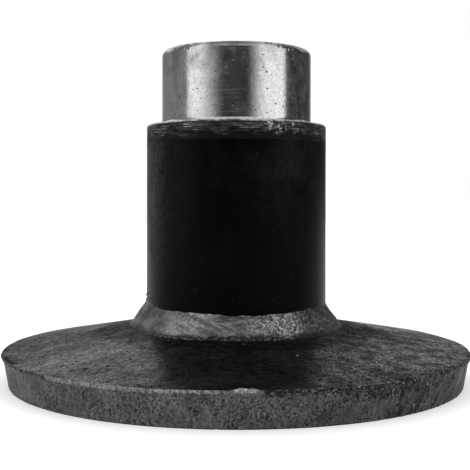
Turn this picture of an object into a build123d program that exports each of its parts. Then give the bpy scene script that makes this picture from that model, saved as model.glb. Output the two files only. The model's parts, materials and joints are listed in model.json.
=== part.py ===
from build123d import *
import os
from math import cos, hypot, radians, sin, tan

# Welded steel bollard post, in millimetres and degrees. +Z is up along the post, and the origin is on that
# axis in the plane that the foot plate stands on. Each piece is drawn as half a cross-section, radius
# against height, and turned about Z.

# Foot plate: a disc cut by flame and then pressed to a shallow cone, so its rim face leans in.
PLATE_DIAMETER = 294.0        # across the upper rim corner
PLATE_THICKNESS = 21.0        # measured square to the sloping faces
DISH_ANGLE = 10.0             # slope of the plate's faces
SEAT_DRESSING = 0.8           # height ground off the lower rim corner, which leaves a flat ring to stand on
MELTED_EDGE = 2.0             # upper rim corner, melted off by the flame, down the rim and along the top
HOLE_CLEARANCE = 0.3          # radial gap between the plate's hole and the tube

# Start and stop of the flame cut: one shallow groove down the rim face.
CUT_START_RADIUS = 1.4
CUT_START_DEPTH = 0.9
CUT_START_BEARING = -94.0     # about Z, from +X

# Post tube, which goes through the plate and stops short of the deck.
TUBE_DIAMETER = 114.3
TUBE_WALL = 8.0
TUBE_FOOT_HEIGHT = 6.0        # from the deck to the tube's sawn end
TUBE_LEAD_CHAMFER = 1.5       # outside, so that the tube enters the hole

# Spigot: the end of a round bar let into the tube and turned after welding.
SHOULDER_HEIGHT = 160.5       # from the deck to the turned shoulder
SHOULDER_EDGE_BREAK = 1.2     # chamfer on the shoulder's outer corner
SPIGOT_DIAMETER = 95.0
SPIGOT_LENGTH = 47.5
SPIGOT_CHAMFER = 2.5
SPIGOT_FOOT_CORNER = 1.5      # 45 degree flat left in the corner between spigot and shoulder
SHANK_LENGTH = 45.0           # length of the bar inside the tube
SHANK_CHAMFER = 3.0
CENTRE_HOLE_MOUTH = 13.2      # 60 degree centre hole, left by the lathe's tailstock
CENTRE_HOLE_PILOT = 6.3
CENTRE_HOLE_DEPTH = 16.0
CENTRE_HOLE_ANGLE = 60.0

# Groove weld between tube and bar, turned flush with both.
GROOVE_HEIGHT = 11.5          # height of weld metal that shows round the outside
GROOVE_COVER = 2.0            # weld metal over the tube's lip
TUBE_LIP = 1.0                # width of the unbevelled lip at the tube's bore

# Fillet weld round the tube's foot: a root run under two cover runs.
FOOT_WELD_RISE = 12.5         # up the tube, from the plate
FOOT_WELD_REACH = 12.5        # out along the plate, as a radius
ROOT_RUN_LEG = 7.0
RUN_MEETING_SHARE = 0.5       # where the two cover runs meet, from the lower toe to the upper one
RUN_CROWN = 0.2               # how far each cover run's face swells

# Fillet weld inside the dish, one flat run.
UNDERSIDE_WELD_LEG = 6.0

plate_radius = PLATE_DIAMETER / 2
tube_radius = TUBE_DIAMETER / 2
bore_radius = tube_radius - TUBE_WALL
hole_radius = tube_radius + HOLE_CLEARANCE
spigot_radius = SPIGOT_DIAMETER / 2
slope = tan(radians(DISH_ANGLE))
rim_inset = PLATE_THICKNESS * sin(radians(DISH_ANGLE))
rim_drop = PLATE_THICKNESS * cos(radians(DISH_ANGLE))
rim_height = rim_drop - SEAT_DRESSING


def plate_top(radius):
    """Height of the plate's upper face at a radius."""
    return rim_height + (plate_radius - radius) * slope


def plate_underside(radius):
    """Height of the plate's lower face at a radius."""
    return (plate_radius - rim_inset - radius) * slope - SEAT_DRESSING


def turned(*outline):
    """Solid of revolution about Z from the lines and arcs of a closed half section."""
    return revolve(Plane.XZ * make_face(outline), axis=Axis.Z)


def turned_polygon(*points):
    """Solid of revolution about Z from the corners of a half section."""
    return revolve(Plane.XZ * make_face(Polyline(*points, close=True)), axis=Axis.Z)


def swelling(start, end, crown):
    """Arc from start to end that swells by crown to the left of that direction."""
    length = hypot(end[0] - start[0], end[1] - start[1])
    left = ((start[1] - end[1]) / length, (end[0] - start[0]) / length)
    middle = tuple((start[i] + end[i]) / 2 + crown * left[i] for i in (0, 1))
    return ThreePointArc(start, middle, end)


def make_foot_plate():
    """Dished disc: sloping faces, leaning rim, ground seat ring, hole for the tube, cut start in the rim."""
    disc = turned_polygon(
        (hole_radius, plate_underside(hole_radius)),
        (plate_radius - rim_inset - SEAT_DRESSING / slope, 0),
        (plate_radius - rim_inset + SEAT_DRESSING * slope, 0),
        (plate_radius - MELTED_EDGE * slope, rim_height - MELTED_EDGE),
        (plate_radius - MELTED_EDGE, plate_top(plate_radius - MELTED_EDGE)),
        (hole_radius, plate_top(hole_radius)),
    )
    stand_off = CUT_START_RADIUS - CUT_START_DEPTH
    rim_middle_radius = plate_radius - rim_inset / 2
    rim_middle_height = rim_height - rim_drop / 2
    groove_at = Pos(
        rim_middle_radius + stand_off * cos(radians(DISH_ANGLE)),
        0,
        rim_middle_height - stand_off * sin(radians(DISH_ANGLE)),
    )
    groove = Rot(0, DISH_ANGLE, 0) * Cylinder(CUT_START_RADIUS, 2 * PLATE_THICKNESS)
    return disc - Rot(0, 0, CUT_START_BEARING) * groove_at * groove


def make_post_tube():
    """Tube with a bevelled upper end for the groove weld and a lead chamfer at its foot."""
    return turned_polygon(
        (bore_radius, TUBE_FOOT_HEIGHT),
        (tube_radius - TUBE_LEAD_CHAMFER, TUBE_FOOT_HEIGHT),
        (tube_radius, TUBE_FOOT_HEIGHT + TUBE_LEAD_CHAMFER),
        (tube_radius, SHOULDER_HEIGHT - GROOVE_HEIGHT),
        (bore_radius + TUBE_LIP, SHOULDER_HEIGHT - GROOVE_COVER),
        (bore_radius, SHOULDER_HEIGHT - GROOVE_COVER),
    )


def make_shoulder_weld():
    """Ring of weld metal that fills the groove; its top is the turned shoulder."""
    return turned_polygon(
        (bore_radius, SHOULDER_HEIGHT - GROOVE_COVER),
        (bore_radius + TUBE_LIP, SHOULDER_HEIGHT - GROOVE_COVER),
        (tube_radius, SHOULDER_HEIGHT - GROOVE_HEIGHT),
        (tube_radius, SHOULDER_HEIGHT - SHOULDER_EDGE_BREAK),
        (tube_radius - SHOULDER_EDGE_BREAK, SHOULDER_HEIGHT),
        (bore_radius, SHOULDER_HEIGHT),
    )


def make_spigot_plug():
    """Bar end: shank in the tube's bore, turned spigot above the shoulder, centre hole in the top."""
    top = SHOULDER_HEIGHT + SPIGOT_LENGTH
    foot = SHOULDER_HEIGHT - SHANK_LENGTH
    mouth_radius = CENTRE_HOLE_MOUTH / 2
    pilot_radius = CENTRE_HOLE_PILOT / 2
    cone_depth = (mouth_radius - pilot_radius) / tan(radians(CENTRE_HOLE_ANGLE / 2))
    return turned_polygon(
        (0, foot),
        (bore_radius - SHANK_CHAMFER, foot),
        (bore_radius, foot + SHANK_CHAMFER),
        (bore_radius, SHOULDER_HEIGHT),
        (spigot_radius + SPIGOT_FOOT_CORNER, SHOULDER_HEIGHT),
        (spigot_radius, SHOULDER_HEIGHT + SPIGOT_FOOT_CORNER),
        (spigot_radius, top - SPIGOT_CHAMFER),
        (spigot_radius - SPIGOT_CHAMFER, top),
        (mouth_radius, top),
        (pilot_radius, top - cone_depth),
        (pilot_radius, top - CENTRE_HOLE_DEPTH),
        (0, top - CENTRE_HOLE_DEPTH),
    )


# Corners that the runs of the foot weld share.
root_corner = (tube_radius, plate_top(hole_radius))
root_upper = (tube_radius, plate_top(hole_radius) + ROOT_RUN_LEG)
root_lower = (tube_radius + ROOT_RUN_LEG, plate_top(tube_radius + ROOT_RUN_LEG))
root_middle = tuple((root_upper[i] + root_lower[i]) / 2 for i in (0, 1))
upper_toe = (tube_radius, plate_top(hole_radius) + FOOT_WELD_RISE)
lower_toe = (tube_radius + FOOT_WELD_REACH, plate_top(tube_radius + FOOT_WELD_REACH))
run_meeting = tuple(lower_toe[i] + RUN_MEETING_SHARE * (upper_toe[i] - lower_toe[i]) for i in (0, 1))


def make_foot_weld_root_run():
    """First run, in the corner between tube and plate; it bridges the gap round the tube."""
    return turned_polygon(
        root_corner,
        (hole_radius, plate_top(hole_radius)),
        root_lower,
        root_middle,
        root_upper,
    )


def make_foot_weld_lower_run():
    """Cover run on the plate side, over the lower half of the root run."""
    return turned(
        Polyline(run_meeting, root_middle, root_lower, lower_toe),
        swelling(lower_toe, run_meeting, -RUN_CROWN),
    )


def make_foot_weld_upper_run():
    """Cover run on the tube side, over the upper half of the root run and against the lower run."""
    return turned(
        Polyline(upper_toe, root_upper, root_middle, run_meeting),
        swelling(run_meeting, upper_toe, -RUN_CROWN),
    )


def make_underside_weld():
    """Single run inside the dish, between the plate's lower face and the tube."""
    corner_height = plate_underside(hole_radius)
    plate_toe_radius = tube_radius + UNDERSIDE_WELD_LEG
    return turned_polygon(
        (tube_radius, corner_height - UNDERSIDE_WELD_LEG),
        (tube_radius, corner_height),
        (hole_radius, corner_height),
        (plate_toe_radius, plate_underside(plate_toe_radius)),
    )


parts = {
    "foot_plate": make_foot_plate(),
    "post_tube": make_post_tube(),
    "shoulder_weld": make_shoulder_weld(),
    "spigot_plug": make_spigot_plug(),
    "foot_weld_root_run": make_foot_weld_root_run(),
    "foot_weld_lower_run": make_foot_weld_lower_run(),
    "foot_weld_upper_run": make_foot_weld_upper_run(),
    "underside_weld": make_underside_weld(),
}

os.makedirs("parts", exist_ok=True)
for name, solid in parts.items():
    solid.label = name
    export_step(solid, f"parts/{name}.step")
    print(f"{name}: {solid.volume:.0f} cubic mm")
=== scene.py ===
# %% [markdown]
# # A welded bollard post
#
# The post is a mooring fitting before its head goes on. A round foot plate is pressed to a shallow dish. A black
# tube stands in its middle, with a heavy weld round its foot. On top, a band of weld is turned flush with the
# tube, and a bright spigot waits for the head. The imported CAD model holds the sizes. This lesson gives each piece
# its surface: first the camera and the light, then one finish and one mesh at a time.

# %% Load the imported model
import json
import math
import random
import bmesh
import bpy
from mathutils import Matrix, Vector, noise


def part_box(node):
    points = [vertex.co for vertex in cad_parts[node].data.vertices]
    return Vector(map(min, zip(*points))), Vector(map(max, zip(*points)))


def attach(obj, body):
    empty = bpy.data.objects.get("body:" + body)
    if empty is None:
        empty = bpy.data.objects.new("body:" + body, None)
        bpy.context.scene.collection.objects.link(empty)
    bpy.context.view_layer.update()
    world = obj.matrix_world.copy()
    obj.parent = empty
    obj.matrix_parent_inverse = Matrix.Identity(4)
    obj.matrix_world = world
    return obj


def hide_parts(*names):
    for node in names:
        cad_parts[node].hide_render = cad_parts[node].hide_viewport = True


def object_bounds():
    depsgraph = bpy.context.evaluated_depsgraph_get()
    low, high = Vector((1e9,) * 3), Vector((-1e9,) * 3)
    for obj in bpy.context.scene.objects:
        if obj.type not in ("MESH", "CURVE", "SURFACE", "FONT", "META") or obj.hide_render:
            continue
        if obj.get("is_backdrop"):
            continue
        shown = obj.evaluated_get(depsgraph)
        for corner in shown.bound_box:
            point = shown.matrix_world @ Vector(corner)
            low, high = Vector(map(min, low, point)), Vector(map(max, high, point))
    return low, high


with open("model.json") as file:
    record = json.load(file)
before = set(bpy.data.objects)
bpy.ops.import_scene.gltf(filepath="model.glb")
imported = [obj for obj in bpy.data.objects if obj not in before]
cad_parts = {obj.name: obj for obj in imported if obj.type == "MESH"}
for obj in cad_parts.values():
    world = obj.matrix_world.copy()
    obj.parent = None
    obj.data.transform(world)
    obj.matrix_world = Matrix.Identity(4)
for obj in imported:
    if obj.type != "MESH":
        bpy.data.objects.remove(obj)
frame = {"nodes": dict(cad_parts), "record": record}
cad_low, cad_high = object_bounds()
print("CAD box, mm:", [round(1000 * side, 1) for side in cad_high - cad_low])

# %% [markdown]
# ## Sizes
#
# Everything is turned about the Z axis, so a piece needs only radii and heights. They are read from the boxes of
# the CAD nodes and from the spigot's mount. The slope of the dished plate follows from two heights on it, at its
# hole and at the toe of the weld. Nothing is typed in twice.

# %% Read the sizes from the frame
MM = 0.001
HOLE_CLEARANCE = 0.3 * MM
MELTED_EDGE = 2 * MM
TUBE_WALL = 8 * MM

plate_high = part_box("foot_plate")[1]
tube_low, tube_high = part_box("post_tube")
band_low, band_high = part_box("shoulder_weld")
plug_low, plug_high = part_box("spigot_plug")
root_low, root_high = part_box("foot_weld_root_run")
lower_low, lower_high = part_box("foot_weld_lower_run")
upper_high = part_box("foot_weld_upper_run")[1]
under_low, under_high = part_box("underside_weld")
spigot_mount = next(mount for mount in frame["record"]["mounts"] if mount["name"] == "spigot")

tube_radius = tube_high.x
hole_radius = tube_radius + HOLE_CLEARANCE
spigot_radius = spigot_mount["dims"]["r_mm"] * MM
spigot_foot = spigot_mount["pos_m"][2] - spigot_mount["dims"]["length_mm"] / 2 * MM
shoulder_height = band_high.z
bore_radius = band_high.x - TUBE_WALL
slope = (plate_high.z - lower_low.z) / (lower_high.x - hole_radius)
rim_radius = plate_high.x + MELTED_EDGE * slope
rim_height = plate_high.z - (rim_radius - hole_radius) * slope


def plate_top(radius):
    """Height of the plate's upper face at a radius."""
    return plate_high.z - (radius - hole_radius) * slope


print("radii of rim, tube and spigot, mm:", [round(r / MM, 2) for r in (rim_radius, tube_radius, spigot_radius)])
print("dish angle, degrees:", round(math.degrees(math.atan(slope)), 2))

# %% [markdown]
# ## Camera
#
# The camera is close to the post and only a little above its middle, so the foot plate shows as a shallow
# ellipse. It looks level, because level sight lines keep the post's sides upright, and a small downward shift
# puts the post in the middle of the frame. The slight roll is that of a post that leans by a hair.

# %% Place the camera
CAMERA_DISTANCE = 0.6067
CAMERA_HEIGHT = 0.1132
CAMERA_ROLL = -0.1
FOCAL_LENGTH = 72.4
SHIFT_ACROSS = -0.0028
SHIFT_DOWN = -0.0747

lens = bpy.data.cameras.new("camera")
lens.lens = FOCAL_LENGTH
lens.sensor_width = 36
lens.shift_x = SHIFT_ACROSS
lens.shift_y = SHIFT_DOWN
camera = bpy.data.objects.new("camera", lens)
camera.location = (0, -CAMERA_DISTANCE, CAMERA_HEIGHT)
camera.rotation_euler = (math.radians(90), math.radians(CAMERA_ROLL), 0)
bpy.context.scene.collection.objects.link(camera)
bpy.context.scene.camera = camera
bpy.context.scene.view_settings.view_transform = "Standard"
print("camera stands at", [round(value, 3) for value in camera.location])

# %% [markdown]
# ## Helpers for node trees
#
# A material is a small graph of nodes. They could be placed by hand in the editor, but code keeps every number in
# sight. A mask is one output of a node, a value that changes over the surface. The class `Mask` lets it be added
# and multiplied like a number, while each sign places a Math node, and `feed` fills a node's inputs by name.

# %% Node helpers
class Mask:
    """One output of a node. The signs +, - and * work as on numbers, and | takes the higher of two masks."""

    def __init__(self, socket):
        self.socket = socket
        self.id_data = socket.id_data

    def __add__(self, other):
        return calculate("ADD", self, other)

    def __sub__(self, other):
        return calculate("SUBTRACT", self, other)

    def __mul__(self, other):
        return calculate("MULTIPLY", self, other)

    def __or__(self, other):
        return calculate("MAXIMUM", self, other)


def fill(place, value):
    """Put a number into an input, or link a mask or socket to it."""
    value = getattr(value, "socket", value)
    if isinstance(value, bpy.types.NodeSocket):
        place.id_data.links.new(value, place)
    else:
        place.default_value = value


def feed(made, **inputs):
    """Fill a node's inputs by name."""
    for name, value in inputs.items():
        fill(made.inputs[name.replace("_", " ")], value)


def node(tree, kind, **inputs):
    """A new node with its inputs filled by name."""
    made = tree.nodes.new(kind)
    feed(made, **inputs)
    return made


def home(*values):
    """The node tree that the masks among the values belong to."""
    return next(value.id_data for value in values if hasattr(value, "id_data"))


def calculate(operation, *values):
    """The result of a Math node."""
    made = home(*values).nodes.new("ShaderNodeMath")
    made.operation = operation
    for place, value in zip(made.inputs, values):
        fill(place, value)
    return Mask(made.outputs[0])


print("node helpers ready")

# %% [markdown]
# ## Soft masks
#
# `fade` maps a value smoothly from one range to another, and `blend` goes from one value to another under a
# mask. They are smooth because no border between two skins of real steel is a ruled line. The last three
# helpers give the values that masks start from.

# %% Mask helpers
def fade(value, start, end, low=0, high=1):
    """low where the value is at start or before, high where it is at end or past it, smooth between them."""
    made = node(home(value), "ShaderNodeMapRange", Value=value, From_Min=start, From_Max=end,
                To_Min=low, To_Max=high)
    made.interpolation_type = "SMOOTHSTEP"
    return Mask(made.outputs[0])


def window(value, start, end, soft_start, soft_end):
    """1 where the value lies from start to end, with a soft fall of its own width on each side."""
    rises = fade(value, start - soft_start, start + soft_start)
    return rises * fade(value, end - soft_end, end + soft_end, 1, 0)


def blend(mask, first, second):
    """first where the mask is 0 and second where it is 1."""
    made = home(mask, first, second).nodes.new("ShaderNodeMix")
    made.data_type = "FLOAT"
    for index, value in ((0, mask), (2, first), (3, second)):
        fill(made.inputs[index], value)
    return Mask(made.outputs[0])


def position(tree):
    """Where a place on the surface is, in metres: across the post to the right, away from the camera, and up."""
    place = node(tree, "ShaderNodeTexCoord").outputs["Object"]
    axes = node(tree, "ShaderNodeSeparateXYZ", Vector=place).outputs
    return [Mask(axes[letter]) for letter in "XYZ"]


def attribute(tree, name):
    """The number that the mesh carries in each vertex under a name."""
    made = tree.nodes.new("ShaderNodeAttribute")
    made.attribute_name = name
    return Mask(made.outputs["Fac"])


def rays(tree):
    """Masks that are 1 for what the camera sees, what a mirror sees and what clear glass lets through."""
    path = node(tree, "ShaderNodeLightPath").outputs
    return [Mask(path[f"Is {kind} Ray"]) for kind in ("Camera", "Glossy", "Transmission")]


print("mask helpers ready")

# %% [markdown]
# ## Light and room
#
# Turned steel is a mirror, so its look is the look of the room. The room is painted into the world as a few soft
# shapes: a tall soft box on each side, a wide panel overhead, a bright sheet that leans over from behind, and
# dark walls between them. The spigot shows the two side boxes as bright upright strips, and the black plate shows
# the sheet behind it, with the post's dark mirror image in the middle. Lamps would do too, but a painted room is
# also what the steel shows. Light Path keeps what the camera sees plain white, and gives matt surfaces some extra
# even light, so that colours come out about as written.

# %% Paint the room
LEFT_BOX = (-80, -41, 1.5, 27)
RIGHT_BOX = (30.5, 79, 17, 1.5)
BOX_HEIGHT = (-30, 58, 8, 12)
BOX_STRENGTH = 1.25
OVERHEAD_STRENGTH = 0.8
DOOR_STRENGTH = 0.38
FRONT_WALL = 0.042
SHEET_HEIGHT = (17, 60, 6, 8)
DOORS = ((-0.42, -0.2), (0.23, 0.42))
FILL_LIGHT = 0.25


def paint_room():
    """World shader. Bearings are in degrees, 0 towards the camera and positive to its right."""
    world = bpy.data.worlds.new("room")
    bpy.context.scene.world = world
    world.use_nodes = True
    tree = world.node_tree
    tree.nodes.clear()
    way = node(tree, "ShaderNodeTexCoord").outputs["Generated"]
    axes = node(tree, "ShaderNodeSeparateXYZ", Vector=way).outputs
    bearing = calculate("DEGREES", calculate("ARCTAN2", axes["X"], Mask(axes["Y"]) * -1))
    height = calculate("DEGREES", calculate("ARCSINE", axes["Z"]))

    box_height = window(height, *BOX_HEIGHT)
    boxes = (window(bearing, *LEFT_BOX) * box_height + window(bearing, *RIGHT_BOX) * box_height) * BOX_STRENGTH

    in_front = fade(axes["Y"], -0.05, -0.25)
    overhead = blend(in_front, fade(height, 36, 58), fade(height, 20, 40)) * OVERHEAD_STRENGTH
    sheet_level = fade(axes["X"], -0.3, 0.15, 1.3, 0.8)
    sheet_width = fade(axes["Y"], 0.3, 0.6)
    sheet_height = window(height, *SHEET_HEIGHT)
    sheet = sheet_width * sheet_height * sheet_level
    side_wall = fade(axes["X"], -0.15, 0.15, 0.25, 0.09)
    for door in DOORS:
        side_wall |= window(axes["X"], *door, 0.05, 0.05) * DOOR_STRENGTH
    wall = blend(fade(axes["Y"], -0.2, -0.12), FRONT_WALL, side_wall)
    backdrop = fade(axes["Y"], 0.975, 0.99)
    room = blend(backdrop, wall | boxes | overhead | sheet, 1)

    camera_ray, mirror_ray, glass_ray = rays(tree)
    strength = blend(mirror_ray, room + FILL_LIGHT, room)
    strength = blend(camera_ray | glass_ray, strength, 1)
    light = node(tree, "ShaderNodeBackground", Color=(1, 1, 1, 1), Strength=strength)
    node(tree, "ShaderNodeOutputWorld", Surface=light.outputs[0])


paint_room()
print("room painted")

# %% [markdown]
# ## Floor
#
# The floor is a pale matt sheet. It glows a little to camera and mirror rays only, so that it meets the white
# room without a seam, and it still takes the soft shadow under the rim.

# %% Lay the floor
FLOOR_SIDE = 8
FLOOR_GREY = 0.86
FLOOR_GLOW = 0.35


def lay_floor():
    """A pale matt floor in the plane that the foot plate stands on."""
    mesh = bmesh.new()
    bmesh.ops.create_grid(mesh, x_segments=1, y_segments=1, size=FLOOR_SIDE / 2)
    data = bpy.data.meshes.new("floor")
    mesh.to_mesh(data)
    mesh.free()
    floor = bpy.data.objects.new("floor", data)
    bpy.context.scene.collection.objects.link(floor)
    paint = bpy.data.materials.new("pale_floor")
    paint.use_nodes = True
    tree = paint.node_tree
    shader = tree.nodes["Principled BSDF"]
    feed(shader, Base_Color=(FLOOR_GREY, FLOOR_GREY, FLOOR_GREY, 1), Roughness=0.9, Specular_IOR_Level=0.1,
         Emission_Color=(1, 1, 1, 1))
    camera_ray, mirror_ray, glass_ray = rays(tree)
    feed(shader, Emission_Strength=(camera_ray | mirror_ray | glass_ray) * FLOOR_GLOW)
    data.materials.append(paint)
    floor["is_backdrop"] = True


lay_floor()
print("floor laid")

# %% [markdown]
# ## Node groups
#
# An effect that comes back in many finishes is kept in one node group with named inputs, as a function is in
# code. A copy of its nodes in each material would work too, but each change would have to be made many times.

# %% Group helpers
def new_group(name, output, **inputs):
    """A shader node group with one float output. Returns the group, its input sockets and its output socket."""
    group = bpy.data.node_groups.new(name, "ShaderNodeTree")
    for label, value in inputs.items():
        kind = "NodeSocketVector" if isinstance(value, tuple) else "NodeSocketFloat"
        group.interface.new_socket(label, in_out="INPUT", socket_type=kind).default_value = value
    group.interface.new_socket(output, in_out="OUTPUT", socket_type="NodeSocketFloat")
    return group, group.nodes.new("NodeGroupInput").outputs, group.nodes.new("NodeGroupOutput").inputs[0]


def use_group(tree, group, **inputs):
    """Place a group in a material with its own values. Returns its output."""
    made = tree.nodes.new("ShaderNodeGroup")
    made.node_tree = group
    for label, value in inputs.items():
        fill(made.inputs[label], value)
    return Mask(made.outputs[0])


def moved(tree, **change):
    """Object coordinates after a change of place, turn or stretch."""
    where = node(tree, "ShaderNodeTexCoord").outputs["Object"]
    return node(tree, "ShaderNodeMapping", Vector=where, **change).outputs[0]


print("group helpers ready")

# %% [markdown]
# ## Shared surface effects
#
# **Clouds** are soft patches, and stretched clouds are streaks and scratches. **Pits** are scattered round
# marks. **Lathe lines** follow the tool round the work: they depend only on height minus radius, which grows
# steadily along a turned profile, over sides, chamfers and end faces alike. **Radius** gives the distance from
# the post's axis, for rings and zones.

# %% Build the shared groups
def build_clouds():
    """Noise in features per metre, cut to a soft mask between two levels."""
    group, given, result = new_group("clouds", "Mask", Stretch=(1, 1, 1), Shift=(0, 0, 0),
                                     Turn=(0, 0, 0), Scale=100, Detail=4, Low=0.4, High=0.6)
    turned = moved(group, Rotation=given["Turn"])
    mapped = node(group, "ShaderNodeMapping", Vector=turned, Location=given["Shift"], Scale=given["Stretch"])
    grain = node(group, "ShaderNodeTexNoise", Vector=mapped.outputs[0], Scale=given["Scale"],
                 Detail=given["Detail"], Roughness=0.6)
    fill(result, fade(grain.outputs[0], given["Low"], given["High"]))
    return group


def build_pits():
    """Round marks: Share is the share of cells that hold one, Size its radius as a share of a cell."""
    group, given, result = new_group("pits", "Mask", Stretch=(1, 1, 1), Scale=300, Size=0.3, Share=0.3)
    cells = node(group, "ShaderNodeTexVoronoi", Vector=moved(group, Scale=given["Stretch"]), Scale=given["Scale"])
    lots = node(group, "ShaderNodeSeparateColor", Color=cells.outputs["Color"]).outputs
    drawn = calculate("LESS_THAN", lots[0], given["Share"])
    reach = Mask(given["Size"]) * (Mask(lots[1]) + 0.4)
    fill(result, fade(cells.outputs["Distance"], reach, reach * 0.4) * drawn)
    return group


def build_radius():
    """Distance from the post's axis, in millimetres."""
    group, given, result = new_group("radius", "Radius", Per_metre=1000)
    length = group.nodes.new("ShaderNodeVectorMath")
    length.operation = "LENGTH"
    fill(length.inputs[0], moved(group, Scale=(1, 1, 0)))
    fill(result, Mask(length.outputs["Value"]) * given["Per_metre"])
    return group


def build_lathe_lines():
    """Fine rings along a turned profile, coarse ones mixed with fine ones."""
    group, given, result = new_group("lathe_lines", "Height", Coarse=900, Fine=5000)
    along = position(group)[2] - use_group(group, radius_group) * MM
    rings = []
    for scale in (given["Coarse"], given["Fine"]):
        grain = node(group, "ShaderNodeTexNoise", Scale=scale, Detail=2)
        grain.noise_dimensions = "1D"
        feed(grain, W=along)
        rings.append(grain.outputs[0])
    fill(result, blend(0.45, *rings))
    return group


clouds_group = build_clouds()
pits_group = build_pits()
radius_group = build_radius()
lathe_group = build_lathe_lines()


def clouds(tree, scale, low=0.4, high=0.6, stretch=(1, 1, 1), shift=(0, 0, 0), detail=4,
           turn=(0, 0, 0)):
    """Soft patches in a material; turn slants a stretched pattern."""
    return use_group(tree, clouds_group, Scale=scale, Low=low, High=high, Stretch=stretch, Shift=shift,
                     Detail=detail, Turn=turn)


def pits(tree, scale, size, share, stretch=(1, 1, 1)):
    """Scattered marks in a material."""
    return use_group(tree, pits_group, Scale=scale, Size=size, Share=share, Stretch=stretch)


print("groups:", [group.name for group in bpy.data.node_groups])

# %% [markdown]
# ## Helpers for turned meshes
#
# A turned piece starts as the corners of half its cross-section. Each side is cut into short lengths, some
# corners are rounded with a vertex bevel, and `bmesh.ops.spin` takes the section an eighth of the way round the
# axis. Three doublings close the turn, which is far quicker than one long spin.

# %% Section helpers
JOIN_DISTANCE = 0.001 * MM


def section(corners, cuts, rounds):
    """Closed half section in the XZ plane; cuts[i] cuts the side after corner i, rounds[i] rounds corner i."""
    mesh = bmesh.new()
    spots = [Vector((radius, 0, height)) for radius, height in corners]
    points = [mesh.verts.new(spot) for spot in spots]
    for start, end in zip(points, points[1:] + points[:1]):
        mesh.edges.new((start, end))
    for index, (width, segments) in rounds.items():
        corner = min(mesh.verts, key=lambda point: (point.co - spots[index]).length)
        bmesh.ops.bevel(mesh, geom=[corner], offset=width, segments=segments, profile=0.5,
                        affect="VERTICES", material=-1)
    sides = []
    for start, end in zip(spots, spots[1:] + spots[:1]):
        middle = (start + end) / 2
        sides.append(min(mesh.edges,
                         key=lambda edge: ((edge.verts[0].co + edge.verts[1].co) / 2 - middle).length))
    for side, count in zip(sides, cuts):
        if count:
            bmesh.ops.subdivide_edges(mesh, edges=[side], cuts=count)
    return mesh


def turn_section(mesh, steps):
    """Turn a half section once round Z: an eighth by spin, the rest by doubling it three times."""
    bmesh.ops.spin(mesh, geom=mesh.verts[:] + mesh.edges[:], axis=(0, 0, 1), cent=(0, 0, 0),
                   angle=math.tau / 8, steps=steps // 8)
    for turn in (45, 90, 180):
        copy = bmesh.ops.duplicate(mesh, geom=mesh.verts[:] + mesh.edges[:] + mesh.faces[:])["geom"]
        bmesh.ops.rotate(mesh, cent=(0, 0, 0), matrix=Matrix.Rotation(math.radians(turn), 3, "Z"),
                         verts=[part for part in copy if isinstance(part, bmesh.types.BMVert)])
        bmesh.ops.remove_doubles(mesh, verts=mesh.verts[:], dist=JOIN_DISTANCE)
    bmesh.ops.recalc_face_normals(mesh, faces=mesh.faces[:])


print("section helpers ready")

# %% [markdown]
# ## Moves that make it real
#
# Real steel is never quite round. So after the turn every vertex may move a little along the section's plane,
# by noise that depends on where it is. `noise` from mathutils gives the same numbers on each run, so a piece
# never changes, and windows of bearing or height keep each mark in its own place.

# %% Vertex helpers
SEED_STEPS = (31.7, 11.3)


def bearing_of(point):
    """Bearing of a point about the post, in degrees: 0 towards the camera, positive to its right."""
    return math.degrees(math.atan2(point.x, -point.y))


def between(value, start, end, soft):
    """1 where the value lies from start to end, falling to 0 over a soft width outside them."""
    inside = min(value - start, end - value)
    share = min(max(inside / soft + 1, 0), 1)
    return share * share * (3 - 2 * share)


def move_point(point, outward, upward):
    """Move a vertex along the section's plane."""
    radius = math.hypot(point.co.x, point.co.y)
    if radius > MM:
        share = 1 + outward / radius
        point.co.x *= share
        point.co.y *= share
    point.co.z += upward


def flattened(point, keep=0):
    """The point with only a share of its height kept, for noise that changes slowly up a piece."""
    return Vector((point.x, point.y, keep * point.z))


def ripple(point, pitch, seed=0):
    """Smooth noise from -1 to 1 with features of a pitch in metres; the seed picks another pattern."""
    across, up = SEED_STEPS
    return noise.noise(Vector((point.x / pitch + across * seed, point.y / pitch, point.z / pitch + up * seed)))


print("vertex helpers ready")

# %% [markdown]
# ## From mesh to finished piece
#
# A mesh becomes an object that rides on the post and hides the CAD nodes it stands for. Its faces are smooth,
# and edges over a set angle stay sharp, so that a chamfer doesn't look like rubber.

# %% Piece and finish helpers
SHARP_ANGLE = math.radians(36)


def finish_piece(mesh, name, slot, nodes, *materials):
    """Turn a bmesh into a smooth piece that rides on the post and stands for CAD nodes."""
    for face in mesh.faces:
        face.smooth = True
    for edge in mesh.edges:
        edge.smooth = edge.calc_face_angle(0) < SHARP_ANGLE
    data = bpy.data.meshes.new(name)
    mesh.to_mesh(data)
    mesh.free()
    for material in materials:
        data.materials.append(material)
    piece = bpy.data.objects.new(name, data)
    bpy.context.scene.collection.objects.link(piece)
    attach(piece, "root")
    if nodes:
        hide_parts(*nodes)
    data.calc_loop_triangles()
    print(name, "has", len(data.loop_triangles), "triangles")


def new_finish(name, specular):
    """A material with its specular level. Returns the material, its node tree and its Principled shader."""
    material = bpy.data.materials.new(name)
    material.use_nodes = True
    shader = material.node_tree.nodes["Principled BSDF"]
    feed(shader, Specular_IOR_Level=specular)
    print("finish", name)
    return material, material.node_tree, shader


def add_bump(shader, height, distance):
    """Lead a height, in shares of a distance in metres, to the shader's normal."""
    relief = node(home(shader), "ShaderNodeBump", Height=height, Distance=distance, Strength=1)
    feed(shader, Normal=relief.outputs[0])


print("piece helpers ready")
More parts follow.
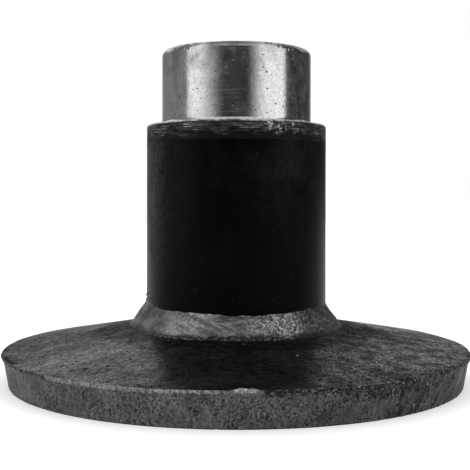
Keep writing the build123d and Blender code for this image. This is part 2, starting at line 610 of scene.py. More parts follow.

# %% [markdown]
# ## Foot plate: the rolled faces
#
# The plate is hot rolled steel. Its faces carry mill scale, a hard black skin that shines when seen flat on, so
# the material is nearly black under a satin coat: its greys are reflections. Round the weld the heat has dulled
# it, and there the glaze is dimmed further as painted shade at the weld's foot, most of all in front of the post.
# The cut rim is a second material on the same mesh, because the border between the two is a real edge.

# %% Make the rolled faces' finish
HEAT_AND_SHADE_RADIUS = 86
SCORCH_RADIUS = 139


def rolled_scale():
    """Black mill scale. Its glaze is a coat that is whole in some places and worn off in flecks and streaks."""
    material, tree, shader = new_finish("rolled_scale", specular=0)
    feed(shader, Coat_Roughness=0.29)
    across = position(tree)[0]
    radius = use_group(tree, radius_group)
    right_side = fade(across, 0.01, 0.06)
    grain = clouds(tree, 90, 0.34, 0.66, detail=9)
    strokes = clouds(tree, 430, 0.32, 0.68, stretch=(0.5, 1, 1), detail=6)
    speckle = clouds(tree, 1100, 0.36, 0.64, stretch=(1, 0.25, 1), detail=2)
    smears = clouds(tree, 34, 0.46, 0.66, stretch=(0.4, 1, 1), detail=5, turn=(0, 0, -0.3))
    streaks = clouds(tree, 120, 0.37, 0.63, stretch=(0.9, 0.9, 1), detail=12)
    left_glaze = grain * 0.22 + 0.43 + smears * 0.2
    right_glaze = (streaks * 0.42 + 0.22) * fade(across, 0.04, 0.12, 0.82, 1.95)
    glaze = blend(right_side, left_glaze, right_glaze) * blend(strokes, 0.6, 1.4)
    specked = blend(speckle, blend(right_side, 0.65, 0.45), blend(right_side, 1.35, 1.55))
    glaze *= specked

    wander = grain * 7
    from_weld = radius + wander
    # Painted shade: the glaze is dimmed round the weld's foot, most in front of the post, on top of the heat's
    # dulling.
    darkest_before_post = blend(window(across, -0.045, 0.045, 0.02, 0.02), 0.45, 0.2)
    heated_and_shaded = fade(from_weld, HEAT_AND_SHADE_RADIUS + 12, HEAT_AND_SHADE_RADIUS)
    glaze *= blend(heated_and_shaded, 1, darkest_before_post)
    from_rim = radius - wander
    glaze *= fade(from_rim, SCORCH_RADIUS, SCORCH_RADIUS + 5, 1, 0.35)
    dark_flecks = pits(tree, 260, 0.34, 0.22)
    glaze = blend(dark_flecks, glaze, 0)
    feed(shader, Coat_Weight=glaze)

    light_flecks = pits(tree, 300, 0.18, 0.06, stretch=(1, 0.3, 1))
    feed(shader, Metallic=light_flecks * 0.8)
    base = blend(strokes, 0.0015, 0.0095)
    base = blend(smears * 0.3, base, 0.02)
    base = blend(light_flecks, base, 0.3)
    feed(shader, Base_Color=base)
    relief = grain * 0.15 + strokes * 0.5
    add_bump(shader, relief - dark_flecks, 0.025 * MM)
    return material


plate_face_finish = rolled_scale()

# %% [markdown]
# ## Matt skin of the cut
#
# A flame leaves a thin, matt, pitted skin on steel, with upright drag lines and a bright melted lip along its
# upper edge; the lip's lightness is painted in as a highlight, with painted glints on its front. A pattern can't
# know where that edge is, so the mesh will carry a value called melted at each vertex and the finish reads it.
# The other way is a painted image, which would need a flat map of the rim.

# %% Make the flame-cut rim's finish
def flame_cut():
    """Matt grey cut face. Attribute melted: melted metal and painted highlight above 0, burnt metal and painted
    shade below 0.
    """
    material, tree, shader = new_finish("flame_cut", specular=0.2)
    across = position(tree)[0]
    fine = clouds(tree, 800, 0.36, 0.64, detail=3)
    broad = clouds(tree, 70, 0.32, 0.68, detail=5)
    drag = clouds(tree, 900, 0.4, 0.6, stretch=(1, 1, 0.05), detail=2)
    dark_pits = pits(tree, 430, 0.42, 0.7)
    pitted = dark_pits * clouds(tree, 110, 0.36, 0.54, detail=4)
    # The grey is darker towards the right, and painted shade darkens both ends of the rim, where it turns away.
    grey = blend(broad, 0.076, 0.138) * fade(across, -0.06, 0.08, 1, 0.66)
    grey *= fade(across, 0.124, 0.143, 1, 0.6)
    grey *= fade(across, -0.146, -0.134, 0.7, 1)
    blotches = clouds(tree, 150, 0.52, 0.66, detail=8) * fade(across, 0.02, 0.08)
    grey *= blend(blotches, 1, 0.45)
    smooth_end = fade(across, -0.13, -0.138)
    calm = clouds(tree, 62, 0.48, 0.62, detail=4, shift=(0, 3, 0))
    calm = smooth_end * 0.8 | calm * 0.6
    fine = blend(calm, fine, 0.6)
    pitted *= blend(smooth_end, 1, 0.1)
    grey *= blend(fine, 0.26, 1.52)
    grey *= blend(drag, 0.8, 1.12)
    grey = blend(pitted * 0.95, grey, 0.008)
    nicks = clouds(tree, 520, 0.4, 0.52, stretch=(1, 1, 0.2), detail=3)
    melted = attribute(tree, "melted")
    lip_and_highlight = fade(melted, 0, 1) * blend(nicks, 0.15, 1)
    burnt = fade(melted, -0.05, -0.8)
    crust = clouds(tree, 560, 0.52, 0.6, detail=5)
    glints = clouds(tree, 760, 0.6, 0.66, detail=4, shift=(1, 0, 0))
    grey = blend(burnt * blend(crust, 1, 0.15), grey, 0.003)
    grey = blend(burnt * (glints * 0.9), grey, 0.42)
    # Painted highlight: the melted lip is made lighter, where its rounded edge catches the light.
    grey = blend(lip_and_highlight, grey, blend(fine, 0.17, 0.37))
    # Painted glints on the mound at the front of the lip.
    mound_glints = clouds(tree, 850, 0.52, 0.6, detail=2, shift=(0, 0, 2))
    mound_glints *= window(across, 0, 0.01, 0.002, 0.002)
    grey = blend(lip_and_highlight * mound_glints, grey, 0.85)
    feed(shader, Base_Color=grey, Roughness=blend(lip_and_highlight, 0.62, 0.42))
    relief = drag * 0.6 + fine - pitted
    add_bump(shader, relief, 0.14 * MM)
    return material


plate_rim_finish = flame_cut()

# %% [markdown]
# ## Marks along the cut
#
# A flame doesn't cut evenly. A bright melted lip runs along the rim's top on the left and a burnt band on the
# right, and the jet leaves drag lines down the face, slanting on the right. A bearing window picks each stretch.
# The same numbers serve for colour and for shape, so that the two agree. In colour the drag lines carry painted
# shade in their grooves and a painted highlight on their ridges.

# %% Mark the cut rim
PLATE_STEPS = 1080
CUT_START = -4
LIP_FROM = -43


def slanted(bearing):
    """1 on the right of the front, where the drag lines slant."""
    return between(bearing, 33, 62, 5)


def drag_lines(bearing, depth):
    """Lines that the cutting jet leaves down the rim, slanting on the right side; from -1 to 1."""
    slant = slanted(bearing)
    along = math.radians(bearing) * rim_radius + depth * (0.15 + 0.5 * slant)
    return noise.noise(Vector((along / (2.4 * MM), 7.7, depth / ((30 - 20 * slant) * MM)))) * 1.6


def lip_share(point, bearing, depth):
    """Melted and bright at 1, burnt and dark at -1, drag lines as painted shade and highlight; depth is from the
    rim's top.
    """
    flat = flattened(point)
    thick = (1.15 + 0.75 * between(bearing, LIP_FROM, -22, 16) + 0.7 * ripple(flat, 1.9 * MM, 17)) * MM
    left = between(bearing, LIP_FROM, CUT_START, 1.5) * between(depth, -2.5 * MM, thick, 0.6 * MM)
    front = between(bearing, 0.2, 3.8, 1.2) * between(depth, -2.5 * MM, MM, 0.8 * MM)
    right = 0.6 * between(bearing, 25.5, 33, 1) * between(depth, -0.6 * MM, 0.3 * MM, 0.4 * MM)
    bright = max(left, front, right) * (0.75 + 0.5 * ripple(flat, 1.6 * MM, 3))
    seam = 1.3 * MM * ripple(flat, 9 * MM, 14) + 0.7 * MM * ripple(flat, 2.6 * MM, 18)
    burnt = between(bearing, 5.5, 34, 1) * between(depth - seam, 0.2 * MM, 2.8 * MM, MM)
    burnt = max(burnt, between(bearing, 24, 56, 5) * between(depth - 1.6 * seam, 0.6 * MM, 6.4 * MM, 2.4 * MM))
    left_burnt = between(bearing, -82, LIP_FROM - 2, 4)
    burnt = max(burnt, left_burnt * between(depth - seam, 0.6 * MM, 2 * MM, MM))
    burnt *= min(max(0.85 + 2.6 * ripple(point, 2.2 * MM, 15), 0), 1)
    # Painted shade in the drag lines' grooves and a painted highlight on their ridges.
    lines = drag_lines(bearing, depth) * between(bearing, 36, 64, 5)
    groove_shade = max(0, -2.2 * lines - 0.2)
    bright = min(max(bright, 0.6 * lines - 0.14, 0), 1)
    return bright - max(burnt, min(groove_shade, 1)) * (1 - bright)


print("rim steps, mm:", round(math.tau * rim_radius / PLATE_STEPS / MM, 2))

# %% [markdown]
# ## Shape of the cut
#
# The rim's vertices move inward, never outward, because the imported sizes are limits. A flame leaves its face a
# little hollow, with bites, and one groove where the cut began. Real moves are better here than a bump in the
# finish, because the outline shows them.

# %% Shape the cut rim
def bead_rise(point, bearing):
    """How far the melted bead stands up from the rim's top edge."""
    rise = 1.2 * between(bearing, 0.6, 3.2, 1.7) + 0.25 * between(bearing, LIP_FROM, 0, 4)
    rise += 0.2 * between(bearing, 4, 30, 6)
    return rise * MM * (0.85 + 0.5 * ripple(flattened(point), 2.5 * MM, 16))


def rim_recess(point, bearing, depth):
    """How far a rim vertex lies inside the sharp outline."""
    flat = flattened(point)
    hollow = 1.3 * MM * between(depth, 4.5 * MM, 40 * MM, 3.5 * MM)
    recess = 0.2 * MM + hollow + 0.16 * MM * ripple(point, 22 * MM, 1) + 0.09 * MM * ripple(point, 6 * MM, 2)
    recess += 0.05 * MM * ripple(point, 2.2 * MM, 4)
    slant = slanted(bearing)
    calm = 0.35 + 0.65 * max(slant, between(bearing, -37, -25, 4))
    recess -= (0.06 + 0.26 * slant) * MM * calm * drag_lines(bearing, depth)
    bites = between(bearing, 16, 27, 2) * between(depth, 0.8 * MM, 3.2 * MM, 1.2 * MM)
    bites = max(bites, between(bearing, 36, 50, 3) * between(depth, 0.5 * MM, 3 * MM, 1.5 * MM))
    recess += bites * max(0, 0.35 * MM + 0.9 * MM * ripple(point, 4 * MM, 5))
    groove = math.radians(bearing - CUT_START) * rim_radius
    recess += 0.7 * MM * math.exp(-((groove / (0.9 * MM)) ** 2)) * between(depth, 2 * MM, 20 * MM, 2 * MM)
    under_lip = between(bearing, LIP_FROM, CUT_START, 2) * between(depth, 2.6 * MM, 3.6 * MM, 0.8 * MM)
    recess += 0.15 * MM * under_lip * (1 + ripple(flat, 3 * MM, 6))
    return max(recess, 0.05 * MM)


def warp(radius, bearing):
    """How far the pressed plate's edge has sprung down, or up where negative."""
    near_edge = between(radius, rim_radius, 1, 45 * MM)
    return near_edge * (0.9 * between(bearing, -70, -30, 28) - 0.4 * between(bearing, 40, 80, 25)) * MM


print("edge sprung at bearing -50, mm:", round(warp(rim_radius, -50) / MM, 2))

# %% [markdown]
# ## Plate as one turned section
#
# The section runs from the hole outwards along the top, round the melted edge, down the rim and back below. Its
# steps are under a millimetre near the rim, because each vertex is then moved by noise to make the cut ragged.
# Faces of the rim get the cut's finish and all others the rolled one, so that one mesh stays one piece.

# %% Make the foot plate
FINE_BAND = 6 * MM
DISHED_FROM = 75 * MM


def make_foot_plate():
    """The dished plate with its cut rim."""
    inner_seat = hole_radius + under_high.z / slope
    outer_seat = rim_radius - rim_height * slope
    corners = [
        (hole_radius, under_high.z),
        (inner_seat, 0),
        (outer_seat, 0),
        (rim_radius, rim_height),
        (rim_radius - FINE_BAND, plate_top(rim_radius - FINE_BAND)),
        (hole_radius, plate_high.z),
    ]
    mesh = section(corners, cuts=(13, 2, 21, 4, 26, 3), rounds={2: (0.5 * MM, 2), 3: (MELTED_EDGE, 5)})
    turn_section(mesh, PLATE_STEPS)
    melted = mesh.verts.layers.float.new("melted")
    for face in mesh.faces:
        middle = face.calc_center_median()
        face.material_index = int(math.hypot(middle.x, middle.y) > outer_seat and face.normal.z < 0.9)
    for point in mesh.verts:
        radius = math.hypot(point.co.x, point.co.y)
        bearing = bearing_of(point.co)
        along_rim = rim_radius - radius - (rim_height - point.co.z) * slope
        depth = rim_height - point.co.z
        on_rim = between(along_rim, -MM, 0.1 * MM, 2.8 * MM)
        on_top = between(point.co.z, plate_top(radius) - 0.1 * MM, plate_top(radius) + MM, 0.1 * MM)
        point[melted] = lip_share(point.co, bearing, depth - along_rim * slope)
        dent = on_top * (0.1 * MM + 0.09 * MM * ripple(point.co, 35 * MM, 8))
        dent *= between(radius, DISHED_FROM, 1, 4 * MM)
        dent += on_top * warp(radius, bearing)
        at_edge = between(radius, rim_radius - 2 * MM, rim_radius, 3 * MM) * between(depth, -1, 0.8 * MM, 2 * MM)
        dent -= at_edge * bead_rise(point.co, bearing)
        move_point(point, -on_rim * rim_recess(point.co, bearing, depth), -dent)
    finish_piece(mesh, "foot_plate_skin", "plate_scale", ["foot_plate"], plate_face_finish, plate_rim_finish)


make_foot_plate()

# %% [markdown]
# ## Post tube
#
# Drawn or welded tube comes with a smoother, blacker scale than plate. Its colour has a painted dull sheen down
# its left side, faint upright streaks left by handling and a lighter patch at the upper right, and it darkens
# towards the bottom. The specular level is low, because a heavy oxide skin sends back less light than paint does,
# and the roughness varies, which shows in that sheen.

# %% Make the tube's finish
def tube_scale():
    """Black, dull tube scale with faint upright streaks, specks and a painted sheen down its left side."""
    material, tree, shader = new_finish("tube_scale", specular=0.04)
    upright = clouds(tree, 170, 0.4, 0.75, stretch=(1, 1, 0.1), detail=5)
    patches = clouds(tree, 26, 0.46, 0.66, detail=7)
    specks = pits(tree, 330, 0.17, 0.1)
    across, _, height = position(tree)
    speckle = clouds(tree, 420, 0.38, 0.66, stretch=(1, 1, 0.8), detail=9)
    # Lighter towards the upper right.
    upper_right_lightening = fade(across, -0.002, 0.018) * fade(height, 0.088, 0.128)
    upper_right_lightening *= clouds(tree, 30, 0.36, 0.6, detail=4, shift=(1, 0, 0))
    # Painted sheen: the colour is lifted down the tube's left side, in patches.
    worn = blend(clouds(tree, 45, 0.36, 0.64, stretch=(1, 1, 0.5), detail=5), 0.45, 1.1)
    painted_left_sheen = fade(across, -0.0572, -0.041, 0.046, 0) * worn + fade(across, -0.05, -0.018, 0.008, 0)
    base = painted_left_sheen + blend(patches, 0.0001, 0.0032) + upright * 0.0008 + upper_right_lightening * 0.0045
    # Darker towards the bottom.
    base *= fade(height, 0.045, 0.125, 0.35, 1.1)
    base *= blend(speckle, 0.6, 1.4)
    base = blend(specks, base, 0.03)
    feed(shader, Base_Color=base, Roughness=blend(patches, 0.36, 0.5))
    add_bump(shader, clouds(tree, 260, 0.2, 0.8), 0.04 * MM)
    return material


tube_finish = tube_scale()

# %% [markdown]
# ## Tube with a wavering skin
#
# Rolled tube looks straight, but a reflection along it shows that it isn't. So the wall gets many rows, and noise
# moves them by less than a tenth of a millimetre. That is too little to see in the outline and enough to bend
# a bright line, which a bump in the finish can't do over such a length.

# %% Make the tube
TUBE_STEPS = 288
TUBE_CHAMFER = 1.5 * MM
GROOVE_LIP = MM
groove_root = shoulder_height - 2 * MM


def make_post_tube():
    """Tube wall with a bevelled top for the groove weld."""
    corners = [
        (bore_radius, tube_low.z),
        (tube_radius - TUBE_CHAMFER, tube_low.z),
        (tube_radius, tube_low.z + TUBE_CHAMFER),
        (tube_radius, band_low.z),
        (bore_radius + GROOVE_LIP, groove_root),
        (bore_radius, groove_root),
    ]
    mesh = section(corners, cuts=(1, 0, 47, 2, 0, 31), rounds={0: (0.4 * MM, 2), 1: (0.4 * MM, 2)})
    turn_section(mesh, TUBE_STEPS)
    for point in mesh.verts:
        outside = math.hypot(point.co.x, point.co.y) > tube_radius - 0.01 * MM
        share = between(point.co.z, upper_high.z, band_low.z - 12 * MM, 10 * MM)
        if outside:
            move_point(point, -0.05 * MM * share * (1 + ripple(flattened(point.co, 0.25), 14 * MM, 1)), 0)
    finish_piece(mesh, "post_tube_skin", "tube_scale", ["post_tube"], tube_finish)


make_post_tube()

# %% [markdown]
# ## Shoulder band
#
# The groove weld between tube and bar was turned flush, then handled and dulled. It is darker than the spigot,
# with broken light scratches round it, and its outer corner is broken with a file: that narrow slope catches the
# light from above as one thin bright line, and the finish paints it lighter as a highlight too.

# %% Make the turned weld's finish
def turned_weld():
    """Dull turned metal with broken scratches round the post and a painted highlight on the broken corner."""
    material, tree, shader = new_finish("turned_weld", specular=0.1)
    across, _, height = position(tree)
    rings = use_group(tree, lathe_group, Coarse=1500, Fine=6000)
    scratches = clouds(tree, 1900, 0.57, 0.66, stretch=(0.04, 0.04, 1), detail=3)
    broken = clouds(tree, 70, 0.38, 0.56, detail=4)
    marks = scratches * broken
    swirls = clouds(tree, 420, 0.54, 0.64, shift=(3, 1, 0), detail=7)
    swirls *= window(across, 0.016, 0.038, 0.003, 0.004)
    dark = clouds(tree, 420, 0.4, 0.62, stretch=(0.3, 0.3, 1), detail=4)
    grey = blend(dark, 0.05, 0.015)
    grey = blend(swirls, grey, 0.4)
    grey = blend(marks, grey, 0.5)
    foot = height - dark * (2.5 * MM)
    ragged = clouds(tree, 60, 0.35, 0.65, stretch=(1, 1, 0.3), detail=5)
    foot -= ragged * (4 * MM)
    bared = fade(foot, band_low.z - MM, band_low.z + 4 * MM)
    grey *= blend(bared, 0.05, 1)
    feed(shader, Metallic=bared * 0.85)
    uneven = broken * (0.5 * MM)
    edge = height + uneven
    # Painted highlight: the filed corner is made light all round.
    corner = fade(edge, shoulder_height - 0.7 * MM, shoulder_height - 0.1 * MM)
    corner *= blend(clouds(tree, 220, 0.4, 0.6, detail=4), 0.15, 1)
    grey = blend(corner, grey, 0.6)
    feed(shader, Base_Color=grey, Roughness=blend(marks, 0.45, 0.25))
    add_bump(shader, rings, 0.03 * MM)
    return material


band_finish = turned_weld()

# %% [markdown]
# ## Band of turned weld metal
#
# The band is a ring of its own whose foot is the slope of the groove. Its broken corner is a real slope in the
# section, so the bright line along it holds from every side, and the finish adds a painted highlight all round it.

# %% Make the shoulder band
BAND_STEPS = 540
CORNER_BREAK = 1.2 * MM


def make_shoulder_band():
    """Ring of turned weld metal; its top is the shoulder that the head sits on."""
    corners = [
        (bore_radius, groove_root),
        (bore_radius + GROOVE_LIP, groove_root),
        (tube_radius, band_low.z),
        (tube_radius, shoulder_height - CORNER_BREAK),
        (tube_radius - CORNER_BREAK, shoulder_height),
        (bore_radius, shoulder_height),
    ]
    mesh = section(corners, cuts=(0, 2, 9, 3, 5, 0), rounds={3: (0.25 * MM, 2), 4: (0.25 * MM, 2)})
    turn_section(mesh, BAND_STEPS)
    for point in mesh.verts:
        share = between(point.co.z, band_low.z + 4 * MM, shoulder_height, 3 * MM)
        if math.hypot(point.co.x, point.co.y) > tube_radius - 2 * MM:
            move_point(point, -0.05 * MM * share * (1 + ripple(flattened(point.co, 3), 5 * MM, 2)), 0)
    finish_piece(mesh, "shoulder_band", "turned_weld", ["shoulder_weld"], band_finish)


make_shoulder_band()

# %% [markdown]
# ## Spigot
#
# The spigot is bare turned steel, so it is fully metallic, and the two soft boxes stand in it as bright strips.
# A tool leaves fine rings, which scatter light up and down but hardly sideways. That is why the strips keep sharp
# sides. The rings are a bump from the lathe group. Knocks are modelled as small hollows, because a mirror shows
# the shape of each one, while rust and fine pits are dull enough to stay in the finish.

# %% Make the turned steel's finish
CHIPPED_RADII = (42.5, 43.5)


def turned_steel():
    """Bright turned steel with rings, faint stains and small pits."""
    material, tree, shader = new_finish("turned_steel", specular=0.2)
    across, depth, height = position(tree)
    upper = fade(height, spigot_foot + 18 * MM, plug_high.z - 6 * MM)
    rings = use_group(tree, lathe_group, Coarse=1100, Fine=4200)
    stains = clouds(tree, 95, 0.4, 0.62, detail=7, shift=(2, 0, 0)) * blend(upper, 0.3, 1)
    stains *= fade(across, 0, 0.012, 1, 0.45)
    smears = clouds(tree, 120, 0.42, 0.66, stretch=(1, 1, 0.3), detail=5, turn=(0, 0.4, 0))
    grain = clouds(tree, 600, 0.3, 0.7, detail=5)
    lines = clouds(tree, 1600, 0.5, 0.7, stretch=(0.03, 0.03, 1), detail=2)
    small_pits = pits(tree, 460, 0.24, 0.2) * clouds(tree, 48, 0.35, 0.5, detail=2)
    right_pits = pits(tree, 390, 0.25, 0.18) * fade(across, 0.004, 0.014)
    small_pits |= right_pits
    knocked = fade(across, 0.028, 0.034) * fade(depth, 0.004, -0.01)
    rust = (clouds(tree, 330, 0.59, 0.67, detail=6) | pits(tree, 430, 0.34, 0.16)) * knocked
    top_edge = fade(height, plug_high.z - 4.5 * MM, plug_high.z - 1.5 * MM)
    # The rounded top edge is made darker at the front, on the left and where it is dented.
    top_edge_darkening = window(across, -0.018, 0.013, 0.012, 0.01)
    dented = blend(clouds(tree, 260, 0.42, 0.56, detail=5), 0.4, 1) * fade(across, 0.016, 0.03)
    top_edge_darkening += fade(across, -0.022, -0.032, 0, 0.7)
    top_edge_darkening = (top_edge_darkening | dented) * top_edge
    grey = blend(stains, 0.74, 0.44) * blend(smears, 1, 0.78) * blend(top_edge_darkening, 1, 0.3)
    grey *= blend(lines, 1, 0.88)
    grey *= blend(grain, 1, 0.78)
    mottled = clouds(tree, 130, 0.4, 0.7, detail=9, shift=(0, 4, 0)) * knocked
    grey *= blend(mottled, 1, 0.4)
    edge_ring = fade(height, plug_high.z - 2.2 * MM, plug_high.z - MM)
    edge_ring *= fade(use_group(tree, radius_group), *CHIPPED_RADII)
    chipped = edge_ring - edge_ring * window(across, -0.012, 0.014, 0.005, 0.005)
    chipped *= clouds(tree, 420, 0.47, 0.54, detail=5)
    dark_spots = rust | small_pits | chipped
    grey = blend(dark_spots, grey, 0.015)
    feed(shader, Base_Color=grey, Metallic=fade(dark_spots, 0.7, 1, 1, 0))
    gloss = blend(stains, 0.12, 0.28) + lines * 0.07
    feed(shader, Roughness=gloss)
    relief = rings + grain * 0.6 - small_pits * 2 - rust * 2
    add_bump(shader, relief, 0.02 * MM)
    return material


spigot_finish = turned_steel()

# %% [markdown]
# ## Spigot, shank and centre hole
#
# One section holds the shank in the tube, the cover of the shoulder, the spigot and the centre hole that the
# lathe needs. Its worn edge is a rounding of many short steps. The knocks are noise that only counts above a
# level, which makes them rare and keeps the rest of the edge even.

# %% Make the spigot
SPIGOT_STEPS = 720
SHANK_CHAMFER = 3 * MM
ROUNDED_EDGE = 4 * MM
CENTRE_MOUTH, CENTRE_BORE = 6.6 * MM, 3.15 * MM
CONE_DEPTH, CENTRE_DEPTH = 6 * MM, 16 * MM


def spigot_hollow(point, bearing):
    """Depth of knocks and pits in the spigot's side and edge."""
    flat = flattened(point, 0.5)
    waves = 0.004 * MM * ripple(point, 9 * MM, 1)
    right_flank = between(bearing, 42, 78, 4)
    dents = right_flank * 0.1 * MM * max(0, ripple(flat, 2.2 * MM, 2) - 0.25)
    edge = between(point.z, plug_high.z - ROUNDED_EDGE - 0.5 * MM, plug_high.z, 0.5 * MM)
    knocked = 0.25 + between(bearing, -60, -35, 6) + between(bearing, 25, 45, 4)
    chips = edge * min(knocked, 1) * 0.7 * MM * max(0, ripple(point, 2 * MM, 3) - 0.15)
    return waves + dents + chips


def make_spigot():
    """Bar end with its turned spigot, its shank inside the tube and the lathe's centre hole on top."""
    top = plug_high.z
    foot = plug_low.z
    corner = spigot_foot - shoulder_height
    corners = [
        (0, foot),
        (bore_radius - SHANK_CHAMFER, foot),
        (bore_radius, foot + SHANK_CHAMFER),
        (bore_radius, shoulder_height),
        (spigot_radius + corner, shoulder_height),
        (spigot_radius, spigot_foot),
        (spigot_radius, top),
        (CENTRE_MOUTH, top),
        (CENTRE_BORE, top - CONE_DEPTH),
        (CENTRE_BORE, top - CENTRE_DEPTH),
        (0, top - CENTRE_DEPTH),
    ]
    cuts = (3, 0, 5, 0, 2, 44, 14, 3, 3, 1, 5)
    rounds = {5: (0.8 * MM, 3), 6: (ROUNDED_EDGE, 12), 7: (0.3 * MM, 2)}
    mesh = section(corners, cuts, rounds)
    turn_section(mesh, SPIGOT_STEPS)
    for point in mesh.verts:
        if point.co.z > spigot_foot and math.hypot(point.co.x, point.co.y) > spigot_radius - 4.5 * MM:
            move_point(point, -0.01 * MM - abs(spigot_hollow(point.co, bearing_of(point.co))), 0)
    finish_piece(mesh, "turned_spigot", "turned_steel", ["spigot_plug"], spigot_finish)


make_spigot()

# %% [markdown]
# ## Foot weld
#
# Two cover runs lie over a root run: the lower one on the plate, the upper one against the tube. Each bead swells
# between uneven toes and carries fine ripples where the melt froze. This weld was brushed and partly ground
# afterwards, so it is brighter than anything but the spigot, and two patches where the side boxes light it are
# painted highlights. Both runs use the same border between them, so that they stay in touch: it climbs near the
# front, where one bead was started over the other.

# %% Make the weld's finish
def weld_metal():
    """Brushed weld metal: two smooth patches painted light as highlights, grinding strokes on the left, rough and
    spotted on the right.
    """
    material, tree, shader = new_finish("weld_metal", specular=0.1)
    across = position(tree)[0]
    rough_side = fade(across, 0, 0.02)
    # Painted highlights: two lighter patches where the side boxes light the weld.
    polished_highlights = window(across, -0.036, -0.014, 0.01, 0.016) + window(across, 0.008, 0.036, 0.008, 0.01)
    clouded = clouds(tree, 60, 0.36, 0.64, detail=6)
    polished_highlights = polished_highlights * 0.6 + clouded * 0.5
    fine = clouds(tree, 560, 0.36, 0.64, detail=5)
    falling = clouds(tree, 420, 0.5, 0.64, stretch=(0.1, 0.1, 1), turn=(0, -0.42, 0))
    falling *= window(across, -0.06, 0.004, 0.01, 0.01)
    rising = clouds(tree, 420, 0.5, 0.64, stretch=(0.1, 0.1, 1), turn=(0, 0.2, 0), shift=(2, 0, 0))
    rising *= window(across, -0.02, 0.02, 0.008, 0.01)
    grains = clouds(tree, 850, 0.4, 0.6, stretch=(1, 0.4, 1), detail=2)
    dark_pits = pits(tree, 420, 0.42, 0.55) * blend(rough_side, 0.25, 1)
    dark_pits *= clouds(tree, 90, 0.34, 0.54, detail=3)
    spots = clouds(tree, 380, 0.49, 0.56, stretch=(1, 0.6, 1), detail=3, shift=(0, 1, 0))
    spots *= fade(across, 0.036, 0.046, 0.12, 0.9)
    dark_pits |= spots * rough_side
    scored = clouds(tree, 620, 0.6, 0.66, stretch=(0.06, 0.06, 1), turn=(0, -0.34, 0),
                    shift=(1, 2, 0))
    scored *= window(across, -0.03, 0.004, 0.006, 0.006)
    dark_pits |= scored * 0.85
    grey = blend(polished_highlights, 0.068, 0.35) * fade(across, 0.034, 0.048, 1.08, 0.85)
    contrast = blend(rough_side, 0.75, 0.4)
    grey *= blend(fine, contrast, 1.35)
    grained = rough_side * 0.6
    grey *= grained * blend(grains, -1, 1) + 1
    grey = blend(rising * 0.35, grey, 0.5)
    grey = blend(falling * 0.55, grey, 0.04)
    grey = blend(dark_pits, grey, 0.02)
    # Painted shade at the weld's foot: the lower run's face is darkened near its toe on the plate. The same value
    # darkens the right side and the underside bead.
    edge = attribute(tree, "oxide_and_toe_shade") * blend(fine, 1, 0.7)
    grey = blend(edge, grey, 0.012)
    feed(shader, Base_Color=grey, Metallic=blend(dark_pits, 0.8, 0), Roughness=blend(polished_highlights, 0.5, 0.34))
    relief = fine - falling * 0.7 - dark_pits
    add_bump(shader, relief, 0.14 * MM)
    return material


weld_finish = weld_metal()
frame["nodes"]["foot_weld_root_run"].material_slots[0].material = weld_finish

# %% [markdown]
# ## Beads from toe to toe
#
# Only the open face of a bead can be seen, so that is the part with many rows. Each vertex keeps its share of
# the way from toe to toe, from 0 to 1, and the ripples fade out at both ends. The hidden sides stay where the
# CAD part has them, so the runs keep touching each other and the plate.

# %% Shape the beads
BEAD_STEPS = 960
RIGHT_SIDE = (62, 118, 14)
LEFT_SIDE = (-118, -64, 14)

lower_toe = (lower_high.x, lower_low.z)
meeting = (upper_high.x, lower_high.z)
upper_toe = (tube_radius, upper_high.z)
root_lower = (root_high.x, root_low.z)
root_upper = (tube_radius, root_high.z)
root_middle = tuple((a + b) / 2 for a, b in zip(root_lower, root_upper))
face_length = math.dist(lower_toe, upper_toe)
face_outward = ((upper_toe[1] - lower_toe[1]) / face_length, (lower_toe[0] - upper_toe[0]) / face_length)
face_upward = ((upper_toe[0] - lower_toe[0]) / face_length, (upper_toe[1] - lower_toe[1]) / face_length)


def meeting_climb(bearing):
    """How far up the weld's face the border between the runs has moved."""
    climb = 4.5 * MM * between(bearing, 2, 12, 22)
    return climb + 0.7 * MM * math.sin(math.radians(3 * bearing)) - 0.5 * MM


def toe_wander(point, seed):
    """Uneven line of a bead's toe."""
    flat = flattened(point)
    return 0.55 * MM * ripple(flat, 8 * MM, seed) + 0.35 * MM * ripple(flat, 2.2 * MM, seed + 1)


def bead_relief(point, share):
    """Height of the bead's skin over its flat face: crown, frozen ripples and hollows."""
    crown = 0.1 * MM * 4 * share * (1 - share)
    flat = flattened(point)
    angle = math.atan2(point.x, -point.y)
    waves = math.sin(angle * tube_radius / (0.42 * MM) + 5 * share * (1 - share) + 3 * ripple(flat, 12 * MM, 9))
    fresh = max(0, ripple(flat, 20 * MM, 7) + 0.35)
    lumps = 0.3 * MM * ripple(point, 7 * MM, 10) + 0.2 * MM * ripple(point, 2.5 * MM, 11)
    narrow = 1.2 * MM * between(bearing_of(point), *RIGHT_SIDE)
    return crown + 0.07 * MM * fresh * waves + lumps - 0.2 * MM - narrow


def make_bead(name, corners, node_name, shape):
    """One weld bead: side 0 of the section is its open face, and shape moves each vertex of that face."""
    mesh = section(corners, cuts=(11,) + (1,) * (len(corners) - 1), rounds={})
    share = mesh.verts.layers.float.new("share")
    start, end = (Vector((radius, 0, height)) for radius, height in corners[:2])
    for point in mesh.verts:
        along = (point.co - start).dot(end - start) / (end - start).length_squared
        on_face = (point.co - start - along * (end - start)).length < JOIN_DISTANCE
        point[share] = along if on_face else -1
    turn_section(mesh, BEAD_STEPS)
    oxide_and_toe_shade = mesh.verts.layers.float.new("oxide_and_toe_shade")
    for point in mesh.verts:
        if point[share] > -0.5:
            point[oxide_and_toe_shade] = shape(point, min(max(point[share], 0), 1))
    finish_piece(mesh, name, "weld_metal", [node_name], weld_finish)


print("width of the weld's face, mm:", round(face_length / MM, 2))

# %% [markdown]
# ## Two cover runs from one helper
#
# Both runs have the same build: an open face between a toe and the seam, one side against the steel and one
# against the root run. One helper makes both from named corners, so they share the seam exactly. Two helpers
# could drift apart and leave a gap along it.

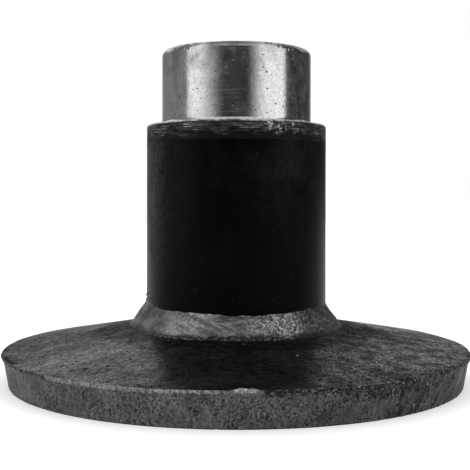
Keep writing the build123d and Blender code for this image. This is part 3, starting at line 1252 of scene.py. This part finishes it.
# %% Make the cover runs
def shape_lower(point, share):
    """Lower cover run: its toe wanders on the plate and its top follows the border."""
    bearing = bearing_of(point.co)
    relief = bead_relief(point.co, share) * between(share, 0.35, 2, 0.35)
    reach = 2 * MM * between(bearing, -32, 34, 26) - 1.8 * MM * between(bearing, *RIGHT_SIDE)
    reach -= 1.8 * MM * between(bearing, *LEFT_SIDE)
    toe = (toe_wander(point.co, 20) + reach) * (1 - share)
    climb = meeting_climb(bearing) * share
    outward = relief * face_outward[0] + climb * face_upward[0] + toe
    upward = relief * face_outward[1] + climb * face_upward[1] - toe * slope
    move_point(point, outward, upward)
    right = between(bearing, 40, 100, 12)
    # Painted shade near the toe on the plate, and a darker right side.
    return between(share, -1, 0.16 + 0.14 * ripple(point.co, 9 * MM, 12), 0.35) + 0.35 * right


def shape_upper(point, share):
    """Upper cover run: its foot follows the border and its toe wanders on the tube, higher at the sides."""
    bearing = bearing_of(point.co)
    relief = bead_relief(point.co, share) * (1 - share**4)
    climb = meeting_climb(bearing) * (1 - share)
    sides = -MM - 0.9 * MM * math.cos(math.radians(2 * bearing))
    bends = 1.4 * MM * between(bearing, -118, -64, 5) - 0.7 * MM * between(bearing, -3, 16, 8)
    bends -= 0.4 * MM * between(bearing, -50, -44, 8) + 0.4 * MM * between(bearing, 28, 36, 6)
    rise = share * (sides + bends + toe_wander(point.co, 30))
    outward = relief * face_outward[0] + climb * face_upward[0]
    upward = relief * face_outward[1] + climb * face_upward[1] + rise
    move_point(point, outward, upward)
    return 0.5 * between(bearing, 40, 100, 12)


make_bead("weld_run_lower", [lower_toe, meeting, root_middle, root_lower], "foot_weld_lower_run", shape_lower)
make_bead("weld_run_upper", [meeting, upper_toe, root_upper, root_middle], "foot_weld_upper_run", shape_upper)

# %% [markdown]
# ## Underside weld
#
# Inside the dish one plain bead closes the gap round the tube. It was never dressed, so it keeps all its ripples.
# The same helper makes it from its own corners. Only its lift differs, which is greatest half way across.

# %% Make the underside weld
def shape_underside(point, share):
    """Single bead inside the dish."""
    relief = bead_relief(point.co, share) * math.sin(math.pi * share)
    move_point(point, relief * 0.7, -relief * 0.7)
    return 0.6


under_toe = (under_high.x, under_high.z - (under_high.x - hole_radius) * slope)
make_bead("weld_run_underside", [(tube_radius, under_low.z), under_toe, (hole_radius, under_high.z),
                                 (tube_radius, under_high.z)], "underside_weld", shape_underside)

# %% [markdown]
# ## Spatter
#
# Spatter is the small drops that a weld throws out. A particle system could scatter them, but plain flattened
# spheres from a random series with a fixed seed land in the same places on each run. Each one sinks a little
# into what it landed on. More of them lie on the left, where the weld was dressed least.

# %% Make the spatter
DROPS = 44
SPATTER_SEED = 4


def make_spatter():
    """Small drops near the weld's toes, most of them on the left."""
    lots = random.Random(SPATTER_SEED)
    mesh = bmesh.new()
    for index in range(DROPS):
        bearing = math.radians(lots.uniform(-100, -60) if index % 2 else lots.uniform(-180, 180))
        size = lots.uniform(0.35, 0.9) * MM
        on_tube = lots.random() < 0.4
        radius = tube_radius if on_tube else lots.uniform(lower_high.x + MM, lower_high.x + 14 * MM)
        height = upper_high.z + lots.uniform(1.5, 7) * MM if on_tube else plate_top(radius) - 0.2 * MM
        drop = bmesh.ops.create_icosphere(mesh, subdivisions=2, radius=size)
        bmesh.ops.scale(mesh, vec=(1, 1, 0.6), verts=drop["verts"])
        where = (radius * math.sin(bearing), -radius * math.cos(bearing), height)
        bmesh.ops.translate(mesh, vec=where, verts=drop["verts"])
    finish_piece(mesh, "weld_spatter", "weld_metal", [], weld_finish)


make_spatter()

# %% [markdown]
# ## Check the size and finish
#
# The skins may not stand outside the imported model, so the gaps between the two boxes are printed.

# %% Write the sizes and finish
visual_low, visual_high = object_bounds()
gaps = (*(visual_low - cad_low), *(cad_high - visual_high))
print("inside the CAD box, mm:", [round(1000 * gap, 2) for gap in gaps])
